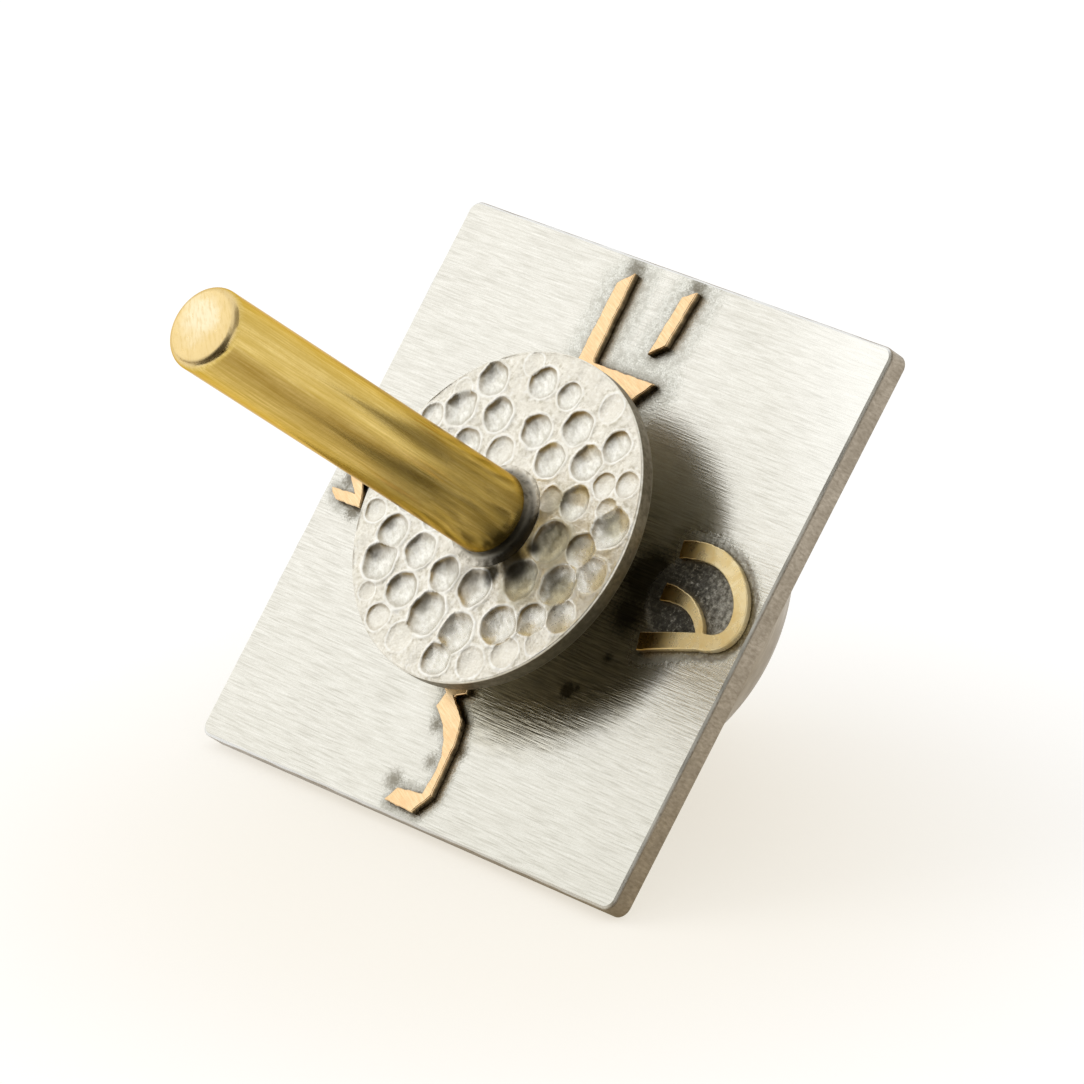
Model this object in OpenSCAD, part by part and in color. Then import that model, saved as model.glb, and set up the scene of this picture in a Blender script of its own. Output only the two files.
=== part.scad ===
// Soldered metal dreidel. It lies at rest on the plate's lower edge and on the dome.
// Every module draws its piece in the top's own frame and lays it down with at_rest():
// there z runs up the stem from the plate's top face, and the plate's sides lie along x and y.

/* [Plate] */
// Side of the square plate
plate_w = 45; // [44:0.5:48]
// Thickness of the plate
plate_t = 2; // [1.2:0.1:3]
// Radius of the plate's four corners
plate_corner_r = 1; // [0.5:0.1:2]
// Bevel along the plate's upper and lower edges
plate_bevel = 0.2; // [0.1:0.05:0.4]

/* [Disc] */
// Diameter of the hammered disc
disc_d = 26; // [22:0.5:30]
// Thickness of the hammered disc
disc_t = 1.4; // [1:0.1:2]
// Open height between the plate and the disc
disc_gap = 4.1; // [2.5:0.1:6]
// Round of the disc's upper and lower rim
disc_rim_r = 0.15; // [0.1:0.05:0.45]
// Diameter of an average hammer dimple
dimple_d = 2.8; // [2.2:0.05:3]
// Depth of an average hammer dimple
dimple_depth = 0.32; // [0.16:0.04:0.4]
// Outer diameter of the tube that carries the disc
spacer_d = 9; // [7:0.5:12]

/* [Stem] */
// Diameter of the stem's grip
stem_d = 6.35; // [5.5:0.05:8]
// Height of the stem's free end above the plate
stem_h = 40; // [30:0.5:50]
// Round of the rim at the stem's free end
stem_rim_r = 0.7; // [0.2:0.05:1.2]
// Diameter of the spigot that runs through disc, spacer, plate and dome
spigot_d = 4.76; // [3:0.01:5]
// Length of the spinning tip below the dome
tip_h = 4; // [3:0.1:6]
// Radius of the rounded end of the spinning tip
tip_r = 0.8; // [0.5:0.05:1.2]

/* [Dome] */
// Outer radius of the half-round dome under the plate
dome_r = 17.4; // [16:0.1:19]
// Wall of the dome
dome_wall = 1; // [0.6:0.1:2]

/* [Letters] */
// Height of a letter from foot to top
letter_h = 9.8; // [7:0.1:11]
// Thickness of the sheet that the letters are cut from
letter_t = 0.6; // [0.3:0.1:1.5]
// Width of a broad stroke of the three-armed letter
stroke_w = 1.4; // [1:0.05:1.7]
// Distance from the plate's edge to the letters' feet
letter_inset = 0.8; // [0.6:0.1:1.5]

/* [Solder] */
// Leg of the solder ring round the stem
stem_solder_leg = 0.8; // [0.4:0.1:1.2]
// Leg of the solder ring round the dome's rim
dome_solder_leg = 0.6; // [0.3:0.1:1.2]
// Leg of the solder ring round the spinning tip
tip_solder_leg = 0.7; // [0.4:0.1:1.2]
// Width of the blunt edge at each end of a solder ring
solder_land = 0.08; // [0.04:0.02:0.15]
// Gap between the spigot and the holes that it runs through
spigot_gap = 0.05; // [0.02:0.01:0.1]

/* [Hidden] */
$fn = 96;
// How far a cutting shape runs past what it cuts
overrun = 1;

plate_half = plate_w / 2;
disc_r = disc_d / 2;
disc_top = disc_gap + disc_t;
stem_r = stem_d / 2;
spigot_r = spigot_d / 2;
hole_r = spigot_r + spigot_gap;
// The stem's foot is chamfered behind the solder, over the outer half of its shoulder
foot_r = (spigot_r + stem_r) / 2;
foot_h = stem_solder_leg + solder_land;
// The dome's centre lies in the plate's underside
dome_z = -plate_t;
dome_foot = dome_z - dome_r;
tip_end = dome_foot - tip_h;

// The top rests on the upper corner of the plate's lower bevel and on the dome
lean = asin(dome_r / norm([plate_half, plate_bevel])) + atan(plate_bevel / plate_half);
rest_lift = plate_half * sin(lean) + (plate_t - plate_bevel) * cos(lean);
// Rearmost point, on the dome, and foremost point, on the rim of the stem's free end
rear_y = plate_t * sin(lean) + dome_r;
front_y = -(stem_h - stem_rim_r) * sin(lean) - (stem_r - stem_rim_r) * cos(lean) - stem_rim_r;

// Dimples, chosen by hand: place in shares of the disc's radius, width in shares of dimple_d and
// radius of the punch in shares of the average one's
dimple_shares = [
    [-0.50, 0.72, 1.00, 1.0], [-0.14, 0.80, 0.95, 1.0], [0.09, 0.78, 0.80, 1.0],
    [-0.63, 0.50, 1.05, 1.0], [-0.34, 0.54, 1.00, 1.0], [-0.80, 0.40, 0.75, 1.0],
    [-0.02, 0.53, 1.00, 1.0], [0.26, 0.63, 1.00, 1.0], [0.59, 0.61, 0.90, 1.0],
    [-0.46, 0.32, 0.95, 1.1], [-0.20, 0.35, 0.90, 1.8], [0.18, 0.40, 1.00, 1.0],
    [0.44, 0.46, 1.00, 1.0], [0.42, 0.80, 0.80, 2.6], [0.64, 0.38, 0.75, 1.4],
    [0.79, 0.43, 0.75, 1.2], [0.50, 0.23, 1.00, 1.0], [0.32, 0.20, 0.75, 1.4],
    [0.83, 0.17, 1.20, 1.2], [0.47, -0.02, 1.20, 1.1], [0.70, 0.00, 0.95, 1.1],
    [0.86, -0.11, 1.00, 1.2], [0.40, -0.28, 1.15, 1.1], [0.67, -0.23, 1.20, 1.2],
    [0.80, -0.38, 0.92, 1.2], [0.61, -0.46, 0.95, 1.1], [0.41, -0.56, 1.15, 1.1],
    [0.11, -0.42, 1.05, 1.0], [-0.15, -0.41, 1.00, 1.0], [-0.13, -0.65, 1.20, 1.1],
    [-0.40, -0.34, 1.00, 1.0], [-0.66, -0.29, 1.00, 1.0], [-0.65, -0.48, 1.12, 1.0],
    [-0.39, -0.58, 1.05, 1.0], [-0.46, -0.77, 0.80, 1.6], [-0.24, -0.83, 0.85, 2.8],
    [0.14, -0.69, 1.10, 1.0], [0.09, -0.87, 0.95, 1.0], [0.34, -0.81, 0.90, 2.8],
    [0.54, -0.69, 0.90, 2.8], [0.72, -0.56, 0.75, 2.8], [-0.63, -0.66, 0.55, 1.2],
    [-0.86, -0.22, 0.70, 1.2], [-0.68, 0.60, 0.60, 2.2], [-0.27, 0.88, 0.65, 2.4],
    [0.74, 0.26, 0.65, 1.0], [-0.76, 0.22, 0.90, 1.0], [-0.86, 0.02, 0.80, 1.0],
    [-0.57, 0.14, 0.95, 1.0], [-0.65, -0.07, 0.95, 1.0], [-0.42, -0.12, 0.85, 1.0]];

// Outlines of the letters in shares of letter_h: x across the letter, y up from its foot
nun_shares = [
    [-0.18, 0.01], [0.13, 0], [0.235, 0.17], [0.22, 0.40], [0.215, 0.58], [0.16, 0.78],
    [-0.02, 0.92], [0.075, 0.97], [0.06, 1.04], [-0.18, 0.98], [-0.11, 0.92], [-0.14, 0.80],
    [0.01, 0.69], [0.09, 0.585], [0.145, 0.47], [0.16, 0.35], [0.145, 0.16], [-0.11, 0.13]];
gimel_shares = [
    [0.18, 0.04], [0.215, 0.065], [0.26, 0.14], [0.255, 0.41], [0.15, 0.37], [0.07, 0.32],
    [0.07, 0.45], [0.12, 0.80], [0.16, 0.86], [0.14, 1], [-0.10, 1], [-0.20, 0.86],
    [-0.01, 0.84], [-0.05, 0.45], [-0.07, 0.25], [-0.20, 0.10], [-0.17, 0], [-0.03, 0.08],
    [0.055, 0.17], [0.165, 0.29]];
he_shares = [
    [0.345, 0.05], [0.47, 0.165], [0.47, 0.93], [0.42, 1], [-0.20, 1], [-0.35, 0.79],
    [0.30, 0.795], [0.32, 0.76]];
he_leg_shares = [[-0.32, 0.03], [-0.20, 0.10], [-0.15, 0.60], [-0.28, 0.49]];
// Middle lines of the three-armed letter, as curves through start, pull and end
shin_left_shares = [[-0.40, 0.83], [-0.30, 0.54], [-0.235, 0.30]];
shin_bowl_left_shares = [[-0.235, 0.30], [-0.215, 0.045], [-0.03, 0.043]];
shin_bowl_right_shares = [[-0.03, 0.043], [0.17, 0.05], [0.315, 0.285]];
shin_right_shares = [[0.315, 0.285], [0.455, 0.52], [0.35, 0.86]];
shin_middle_shares = [[-0.20, 0.31], [0.06, 0.47], [0.01, 0.83]];
// Width of the narrow strokes of the three-armed letter, in shares of its broad ones
shin_narrow_share = 0.45;
shin_bowl_share = 0.85;
// Steps along one curve of an outline
curve_steps = 8;

// Lays a piece of the top down as it rests, with the floor at z = 0
module at_rest() {
    translate([0, -(rear_y + front_y) / 2, rest_lift]) rotate([lean, 0, 0]) children();
}

// Points along a round, from angle a to angle b
function round_points(centre, r, a, b) =
    [for (i = [0:curve_steps]) centre + r * [cos(a + (b - a) * i / curve_steps),
                                             sin(a + (b - a) * i / curve_steps)]];

// Points along a curve that starts at p[0], is pulled towards p[1] and ends at p[2]
function curve(p) =
    [for (i = [0:curve_steps]) let (t = i / curve_steps)
        pow(1 - t, 2) * p[0] + 2 * t * (1 - t) * p[1] + t * t * p[2]];

// Unit vector to the left of a line of points, at point i
function left_of(points, i) =
    let (a = points[max(i - 1, 0)], b = points[min(i + 1, len(points) - 1)], d = (b - a) / norm(b - a))
        [-d[1], d[0]];

// Ribbon along a line of points. Its width passes smoothly through w[0] at the start, w[1] half
// way and w[2] at the end.
module ribbon(points, w) {
    last = len(points) - 1;
    half = [for (i = [0:last]) let (t = i / last)
        (w[0] * (1 - t) * (1 - 2 * t) + w[1] * 4 * t * (1 - t) + w[2] * t * (2 * t - 1)) / 2];
    polygon(concat([for (i = [0:last]) points[i] + half[i] * left_of(points, i)],
                   [for (i = [last:-1:0]) points[i] - half[i] * left_of(points, i)]));
}

// Ring of solder in the corner round a cylinder of radius r. It rises from height z, and its
// blunt-ended leg lies along a face that falls away by slope. Legs below zero hang down. It fills
// a chamfer that draws the cylinder's end in by draw_in, a land higher than the leg.
module solder_ring(r, z, leg, slope = 0, draw_in = 0) {
    out = abs(leg);
    land = solder_land * sign(leg);
    translate([0, 0, z]) rotate_extrude()
        polygon([[r - draw_in, 0], [r + out, -slope * leg], [r + out, land - slope * leg],
                 [r + abs(land), leg], [r - draw_in * land / (leg + land), leg]]);
}

// Places a letter on the plate, its foot at side k: 0 front, 1 right, 2 back, 3 left
module on_side(k) {
    rotate([0, 0, 90 * k]) translate([0, letter_inset - plate_half, 0])
        linear_extrude(letter_t) children();
}

module rounded_square(w, r) {
    square([w - 2 * r, w], center = true);
    square([w, w - 2 * r], center = true);
    for (x = [-1, 1], y = [-1, 1]) translate([x, y] * (w / 2 - r)) circle(r);
}

// Section of the plate with its four long bevels
module bevelled_section() {
    in = plate_half - plate_bevel;
    low = -plate_t + plate_bevel;
    polygon([[-in, -plate_t], [in, -plate_t], [plate_half, low], [plate_half, -plate_bevel],
             [in, 0], [-in, 0], [-plate_half, -plate_bevel], [-plate_half, low]]);
}

module plate() {
    color([0.84, 0.83, 0.78]) at_rest() difference() {
        intersection() {
            translate([0, 0, -plate_t]) linear_extrude(plate_t) rounded_square(plate_w, plate_corner_r);
            rotate([90, 0, 0]) linear_extrude(plate_w, center = true) bevelled_section();
            rotate([90, 0, 90]) linear_extrude(plate_w, center = true) bevelled_section();
        }
        translate([0, 0, -plate_t - overrun]) cylinder(h = plate_t + 2 * overrun, r = hole_r);
    }
}

module dome() {
    color([0.66, 0.62, 0.55]) at_rest() difference() {
        translate([0, 0, dome_z]) difference() {
            sphere(dome_r);
            sphere(dome_r - dome_wall);
            translate([0, 0, dome_r / 2]) cube([2 * dome_r, 2 * dome_r, dome_r], center = true);
        }
        translate([0, 0, dome_foot - overrun]) cylinder(h = dome_wall + 2 * overrun, r = hole_r);
    }
}

module stem() {
    tip_centre = tip_end + tip_r;
    color([0.78, 0.65, 0.33]) at_rest() rotate_extrude() polygon(concat(
        [[0, tip_end]],
        round_points([0, tip_centre], tip_r, -75, -15),
        [[spigot_r, (dome_foot + tip_centre) / 2], [spigot_r, disc_top],
         [foot_r, disc_top], [stem_r, disc_top + foot_h]],
        round_points([stem_r - stem_rim_r, stem_h - stem_rim_r], stem_rim_r, 0, 90),
        [[0, stem_h]]));
}

// The disc's blank: a round slab with rounded rims and the spigot's hole
module disc_blank() {
    rotate_extrude() polygon(concat(
        [[hole_r, disc_gap]],
        round_points([disc_r - disc_rim_r, disc_gap + disc_rim_r], disc_rim_r, -90, 0),
        round_points([disc_r - disc_rim_r, disc_top - disc_rim_r], disc_rim_r, 0, 90),
        [[hole_r, disc_top]]));
}

module hammered_disc() {
    ball_r = (pow(dimple_d / 2, 2) + pow(dimple_depth, 2)) / (2 * dimple_depth);
    color([0.85, 0.84, 0.80]) at_rest() difference() {
        disc_blank();
        for (d = dimple_shares) {
            own_r = d[3] * ball_r;
            rise = sqrt(pow(own_r, 2) - pow(d[2] * dimple_d / 2, 2));
            translate([d[0] * disc_r, d[1] * disc_r, disc_top + rise]) sphere(own_r, $fn = 48);
        }
    }
}

module disc_spacer() {
    color([0.72, 0.68, 0.58]) at_rest() difference() {
        cylinder(h = disc_gap, d = spacer_d);
        translate([0, 0, -overrun]) cylinder(h = disc_gap + 2 * overrun, r = hole_r);
    }
}

module letter_nun() {
    color([0.93, 0.75, 0.47]) at_rest() on_side(0) polygon(nun_shares * letter_h);
}

module letter_gimel() {
    color([0.93, 0.75, 0.47]) at_rest() on_side(3) polygon(gimel_shares * letter_h);
}

module letter_he() {
    color([0.93, 0.75, 0.47]) at_rest() on_side(2) polygon(he_shares * letter_h);
}

module letter_he_leg() {
    color([0.93, 0.75, 0.47]) at_rest() on_side(2) polygon(he_leg_shares * letter_h);
}

module letter_shin() {
    narrow_w = stroke_w * shin_narrow_share;
    bowl_w = stroke_w * shin_bowl_share;
    arms = [shin_left_shares, shin_bowl_left_shares, shin_bowl_right_shares, shin_right_shares];
    // Each arm starts where the one before it ended, so that shared point is taken once
    outer = [for (k = [0:len(arms) - 1]) let (arm = curve(arms[k] * letter_h))
        for (i = [min(k, 1):curve_steps]) arm[i]];
    color([0.93, 0.75, 0.47]) at_rest() on_side(1) {
        ribbon(outer, [stroke_w, bowl_w, stroke_w]);
        ribbon(curve(shin_middle_shares * letter_h), [narrow_w, (narrow_w + bowl_w) / 2, stroke_w]);
    }
}

module stem_solder() {
    color([0.45, 0.44, 0.42]) at_rest()
        solder_ring(stem_r, disc_top, stem_solder_leg, 0, stem_r - foot_r);
}

module dome_solder() {
    color([0.45, 0.44, 0.42]) at_rest() solder_ring(dome_r, dome_z, -dome_solder_leg);
}

module tip_solder() {
    depth = sqrt(pow(dome_r, 2) - pow(spigot_r, 2));
    color([0.45, 0.44, 0.42]) at_rest()
        solder_ring(spigot_r, dome_z - depth, -tip_solder_leg, spigot_r / depth);
}

plate();
dome();
stem();
hammered_disc();
disc_spacer();
letter_nun();
letter_gimel();
letter_he();
letter_he_leg();
letter_shin();
stem_solder();
dome_solder();
tip_solder();
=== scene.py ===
from math import asin, atan, cos, pi, radians, sin, sqrt

import bmesh
import bpy
import numpy as np
from mathutils import Matrix, Vector


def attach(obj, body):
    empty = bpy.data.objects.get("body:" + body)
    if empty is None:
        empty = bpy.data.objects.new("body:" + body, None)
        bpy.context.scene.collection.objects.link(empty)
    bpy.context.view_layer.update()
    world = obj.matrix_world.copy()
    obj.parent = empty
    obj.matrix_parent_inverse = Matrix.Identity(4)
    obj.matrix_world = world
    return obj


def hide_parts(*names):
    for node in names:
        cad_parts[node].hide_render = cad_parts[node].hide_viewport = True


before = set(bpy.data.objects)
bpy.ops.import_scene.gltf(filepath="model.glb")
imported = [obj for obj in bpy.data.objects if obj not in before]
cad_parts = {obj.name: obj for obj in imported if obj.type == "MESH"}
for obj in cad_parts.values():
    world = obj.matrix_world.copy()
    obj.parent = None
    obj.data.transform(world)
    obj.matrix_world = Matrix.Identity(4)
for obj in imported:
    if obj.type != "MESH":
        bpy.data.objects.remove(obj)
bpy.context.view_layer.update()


# View
# A long lens stands to the right of the top and a little above it.
lens_place = Vector((0.4135, -0.3649, 0.2422))
lens_right = Vector((0.6729, 0.7396, -0.0136))
lens_down = Vector((0.2672, -0.2601, -0.9279))
lens_ahead = Vector((-0.6898, 0.6207, -0.3727))
film_width = 36
long_lens = 273.5


def new_object(name, data):
    """An object in the scene."""
    made = bpy.data.objects.new(name, data)
    bpy.context.scene.collection.objects.link(made)
    return made


lens = bpy.data.cameras.new("lens")
lens.lens = long_lens
lens.sensor_width = film_width
lens.clip_start, lens.clip_end = 0.01, 20
camera = new_object("camera", lens)
camera.matrix_world = Matrix.Translation(lens_place) @ Matrix(
    (lens_right, -lens_down, -lens_ahead)).transposed().to_4x4()
bpy.context.scene.camera = camera


# Table and light
# A pale paper sweep, a broad soft lamp to the left, an even white tent and the dark of the
# room behind the lens, which only the bright metal picks up.
white = (1, 1, 1, 1)
paper_white = (0.92, 0.94, 0.975, 1)
painted_warm_shade = (0.90, 0.85, 0.75, 1)
painted_mirrored_shadow = (0.40, 0.32, 0.17, 1)
paper_glow = 1.45
paper_half = 6
shade_spot, shade_full, shade_gone = (0.01, -0.005), 0.015, 0.065
mirrored_shadow_spot, mirrored_shadow_full, mirrored_shadow_gone = (0.032, -0.001), 0.008, 0.055
tent_colour, tent_light = (1, 0.965, 0.91, 1), 0.62
lamp_colour = (1, 0.985, 0.955)
lamp_from = Vector((-0.60, -0.46, 0.65))
lamp_aim = Vector((0, 0, 0.02))
lamp_away = 0.8
lamp_side = 0.55
lamp_power = 1.15
sheen_from = Vector((-0.80, -0.38, 0.45))
sheen_power = 0.22


def new_tree(name):
    """A material with its nodes cleared, and its output node."""
    finish = bpy.data.materials.new(name)
    finish.use_nodes = True
    finish.node_tree.nodes.clear()
    return finish, finish.node_tree, finish.node_tree.nodes.new("ShaderNodeOutputMaterial")


def add(tree, kind, inputs=None, **settings):
    """One node of a tree. Its inputs are values or the outputs of other nodes."""
    made = tree.nodes.new(kind)
    for name, value in settings.items():
        setattr(made, name, value)
    for key, value in (inputs or {}).items():
        if isinstance(value, bpy.types.NodeSocket):
            tree.links.new(value, made.inputs[key])
        else:
            made.inputs[key].default_value = value
    return made


def tree_of(*given):
    """The tree that holds the first socket among these."""
    return next(g for g in given if isinstance(g, bpy.types.NodeSocket)).id_data


def math(operation, a, b=0.0):
    return add(tree_of(a, b), "ShaderNodeMath", {0: a, 1: b}, operation=operation).outputs[0]


def between(value, low, high, to_low=0.0, to_high=1.0, smooth=False):
    return add(value.id_data, "ShaderNodeMapRange", {0: value, 1: low, 2: high, 3: to_low, 4: to_high},
               interpolation_type="SMOOTHSTEP" if smooth else "LINEAR", clamp=True).outputs[0]


def blend(share, a, b, how="MIX"):
    """Mixes two colours, each of them numbers or a socket."""
    a, b = (c if isinstance(c, bpy.types.NodeSocket) else (*c[:3], 1) for c in (a, b))
    return add(tree_of(share, a, b), "ShaderNodeMix", {0: share, 6: a, 7: b},
               data_type="RGBA", blend_type=how).outputs[2]


def vector_math(operation, a, b, result=0):
    return add(a.id_data, "ShaderNodeVectorMath", {0: a, 1: b}, operation=operation).outputs[result]


def from_spot(where, x, y):
    return vector_math("DISTANCE", where, (x, y, 0), "Value")


def seen_or_mirrored(tree):
    """1 for what the lens sees straight or by way of metal, and 0 for what lights the top."""
    path = add(tree, "ShaderNodeLightPath").outputs
    either = math("MAXIMUM", path["Is Camera Ray"], path["Is Glossy Ray"])
    return math("MAXIMUM", either, path["Is Transmission Ray"])


tent = bpy.data.worlds.new("tent")
bpy.context.scene.world = tent
tent.use_nodes = True
tent.node_tree.nodes.clear()
tent_dim = add(tent.node_tree, "ShaderNodeBackground", {"Color": tent_colour, "Strength": tent_light})
tent_full = add(tent.node_tree, "ShaderNodeBackground", {"Color": white, "Strength": 1.0})
tent_mix = add(tent.node_tree, "ShaderNodeMixShader", {0: seen_or_mirrored(tent.node_tree),
                                                       1: tent_dim.outputs[0], 2: tent_full.outputs[0]})
add(tent.node_tree, "ShaderNodeOutputWorld", {0: tent_mix.outputs[0]})

paper, tree, out = new_tree("paper")
matt = add(tree, "ShaderNodeBsdfDiffuse", {"Color": paper_white})
place = add(tree, "ShaderNodeTexCoord").outputs["Object"]
tint = blend(between(from_spot(place, *shade_spot), shade_full, shade_gone, 0, 1, True), painted_warm_shade, white)
# Close beside the top the paper carries a painted warm shadow, and for the metal a darker brown painted
# shadow, which the metal picks up
mirrored_shadow = blend(between(from_spot(place, *mirrored_shadow_spot), mirrored_shadow_full, mirrored_shadow_gone), painted_mirrored_shadow, white)
mirrored = add(tree, "ShaderNodeLightPath").outputs["Is Glossy Ray"]
tint = blend(mirrored, tint, mirrored_shadow)
glow = add(tree, "ShaderNodeEmission", {"Color": tint, "Strength": paper_glow})
share = math("MULTIPLY", seen_or_mirrored(tree), 0.5)
both = add(tree, "ShaderNodeMixShader", {0: share, 1: matt.outputs[0], 2: glow.outputs[0]})
tree.links.new(both.outputs[0], out.inputs[0])
sheet = bpy.data.meshes.new("table")
sheet.from_pydata([(x * paper_half, y * paper_half, 0) for x, y in ((-1, -1), (1, -1), (1, 1), (-1, 1))],
                  [], [(0, 1, 2, 3)])
sheet.materials.append(paper)
table = new_object("table", sheet)


def soft_lamp(name, toward, power, on_metal, on_paper):
    """A square soft lamp that faces the top. It lights the paper, the metal or both."""
    light = bpy.data.lights.new(name, "AREA")
    light.shape, light.size = "SQUARE", lamp_side
    light.energy, light.color = power, lamp_colour
    light.specular_factor, light.diffuse_factor = on_metal, on_paper
    lamp = new_object(name, light)
    lamp.location = toward.normalized() * lamp_away + lamp_aim
    lamp.rotation_mode = "QUATERNION"
    lamp.rotation_quaternion = toward.to_track_quat("Z", "Y")
    lamp.visible_glossy = on_metal


soft_lamp("soft_lamp", lamp_from, lamp_power, False, True)
soft_lamp("sheen_lamp", sheen_from, sheen_power, True, False)


def cloth(name, corners, colour):
    """A sheet that only the metal sees, in this colour."""
    stuff, tree, out = new_tree(name)
    tree.links.new(add(tree, "ShaderNodeEmission", {"Color": (*colour, 1)}).outputs[0], out.inputs[0])
    hung = bpy.data.meshes.new(name)
    hung.from_pydata([tuple(c) for c in corners], [], [(0, 1, 2, 3)])
    hung.materials.append(stuff)
    piece = new_object(name, hung)
    piece.visible_camera = False
    piece.visible_diffuse = False
    piece.visible_shadow = False


def facing(toward, away, width, height):
    """Corners of a sheet that hangs square to the top."""
    turn = toward.to_track_quat("Z", "Y").to_matrix()
    return [toward.normalized() * away + turn @ Vector((x * width / 2, y * height / 2, 0))
            for x, y in ((-1, -1), (1, -1), (1, 1), (-1, 1))]


cloth("room_dark", facing(Vector((0.11, -0.90, 0.42)), 1.2, 1.5, 1.05), (0.030, 0.022, 0.011))
cloth("table_edge", [(-0.5, -1.2, 0.001), (1.2, -1.2, 0.001), (0.45, -0.14, 0.001), (-0.05, -0.14, 0.001)],
      (0.05, 0.038, 0.018))
cloth("room_right", facing(Vector((0.66, -0.75, 0.10)), 1.1, 0.5, 0.5), (0.03, 0.020, 0.006))
cloth("room_brown", facing(Vector((-0.60, -0.80, 0.08)), 1.1, 0.6, 0.24), (0.20, 0.13, 0.05))
cloth("ceiling_grey", facing(Vector((0.30, -0.12, 0.94)), 1.2, 1.0, 1.0), (0.32, 0.30, 0.26))


# Plate
# A square of sheet silver-coloured metal, 2 mm thick, brushed along one side and filed on its
# edges. Solder and heat have left a grainy grey skin round the letters, and soot and painted
# shadow darken the ground below and beside the disc.
plate_side, plate_thick, plate_corner, plate_bevel = 45.0, 2.0, 1.0, 0.2
spigot_hole_r = 2.43
plate_cells, merged_below = 300, 0.0005
letters = "letter_nun", "letter_gimel", "letter_he", "letter_he_leg", "letter_shin"
grain_reach, grain_fineness, grain_height = 1.5, 3000.0, 0.00012
file_slips = ((0.03, 9, 1), (0.025, 23, 0), (0.02, 57, 2))
dome_r, stem_above, stem_r, stem_round = 17.4, 40.0, 3.175, 0.7

plate_half = plate_side / 2
lean = asin(dome_r / sqrt(plate_half ** 2 + plate_bevel ** 2)) + atan(plate_bevel / plate_half)
front_y = -(stem_above - stem_round) * sin(lean) - (stem_r - stem_round) * cos(lean) - stem_round
rest_y = -(plate_thick * sin(lean) + dome_r + front_y) / 2
rest_z = plate_half * sin(lean) + (plate_thick - plate_bevel) * cos(lean)
# From the top's own frame, in millimetres with z up the stem, to where it lies
lay_down = (Matrix.Translation((0, rest_y / 1000, rest_z / 1000)) @ Matrix.Rotation(lean, 4, "X")
            @ Matrix.Scale(0.001, 4))


def new_piece(name, points, faces, smooth_below=30):
    """A piece from points in the top's own frame, laid down, with crisp edges past an angle."""
    mesh = bpy.data.meshes.new(name)
    mesh.from_pydata([tuple(p) for p in points], [], [tuple(f) for f in faces])
    return finish_piece(name, mesh, smooth_below)


def finish_piece(name, mesh, smooth_below=30):
    """Merges, turns the faces outwards, lays the mesh down and makes the object."""
    work = bmesh.new()
    work.from_mesh(mesh)
    bmesh.ops.remove_doubles(work, verts=work.verts, dist=merged_below)
    bmesh.ops.recalc_face_normals(work, faces=work.faces)
    work.to_mesh(mesh)
    work.free()
    mesh.transform(lay_down)
    mesh.shade_smooth()
    mesh.set_sharp_from_angle(angle=radians(smooth_below))
    return new_object(name, mesh)


def rounded_square(u, v, half, corner):
    """Bends a square grid, u and v from -1 to 1, to a square with round corners."""
    x, y = u * half, v * half
    a = np.clip((abs(x) - (half - corner)) / corner, 0, 1)
    b = np.clip((abs(y) - (half - corner)) / corner, 0, 1)
    return (np.sign(x) * (np.minimum(abs(x), half - corner) + corner * a * np.sqrt(1 - b * b / 2)),
            np.sign(y) * (np.minimum(abs(y), half - corner) + corner * b * np.sqrt(1 - a * a / 2)))


def plate_mesh():
    """A fine grid on top, filed bevels, plain sides and the hole for the spigot."""
    n = plate_cells
    u, v = np.meshgrid(np.linspace(-1, 1, n + 1), np.linspace(-1, 1, n + 1))
    x, y = rounded_square(u, v, plate_half - plate_bevel, plate_corner - plate_bevel)
    top = np.stack([x, y, 0 * x], -1).reshape(-1, 3)
    number = np.arange((n + 1) ** 2).reshape(n + 1, n + 1)
    quads = np.stack([number[:-1, :-1], number[:-1, 1:], number[1:, 1:], number[1:, :-1]], -1)
    quads = quads.reshape(-1, 4)
    far = np.hypot(top[:, 0], top[:, 1])
    quads = quads[(far[quads] > spigot_hole_r).all(1)]
    rim = np.concatenate([number[0, :-1], number[:-1, -1], number[-1, :0:-1], number[:0:-1, 0]])
    ru, rv = u.reshape(-1)[rim], v.reshape(-1)[rim]
    turn = np.linspace(0, 2 * pi, len(rim), endpoint=False)
    # The file has taken a little more here and a little less there
    slip = sum(size * np.sin(waves * turn + start) for size, waves, start in file_slips)
    rings, z_of = [], [-plate_bevel, -plate_thick + plate_bevel, -plate_thick]
    for level, z in enumerate(z_of):
        inset = plate_bevel if level == 2 else 0
        rx, ry = rounded_square(ru, rv, plate_half - inset, plate_corner - inset)
        rings.append(np.stack([rx, ry, 0 * rx + z + (slip if level == 0 else 0)], -1))
    points = np.concatenate([top] + rings)
    loops = [rim] + [np.arange(len(rim)) + len(top) + k * len(rim) for k in range(3)]
    faces = [tuple(q) for q in quads]
    for upper, lower in zip(loops, loops[1:]):
        faces += list(zip(upper, lower, np.roll(lower, -1), np.roll(upper, -1)))
    mesh = bpy.data.meshes.new("plate")
    mesh.from_pydata([tuple(p) for p in points], [], [tuple(int(i) for i in f) for f in faces])
    work = bmesh.new()
    work.from_mesh(mesh)
    bmesh.ops.delete(work, geom=[p for p in work.verts if not p.link_faces], context="VERTS")
    mouth = [e for e in work.edges if e.is_boundary and e.verts[0].co.z > -0.01]
    below = {}
    for p in dict.fromkeys(p for e in mouth for p in e.verts):
        p.co.xy = p.co.xy.normalized() * spigot_hole_r
        below[p] = work.verts.new((p.co.x, p.co.y, -plate_thick))
    for e in mouth:
        work.faces.new((e.verts[0], e.verts[1], below[e.verts[1]], below[e.verts[0]]))
    bmesh.ops.triangle_fill(work, edges=[e for e in work.edges if e.is_boundary], use_beauty=True)
    work.to_mesh(mesh)
    work.free()
    return mesh


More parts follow.
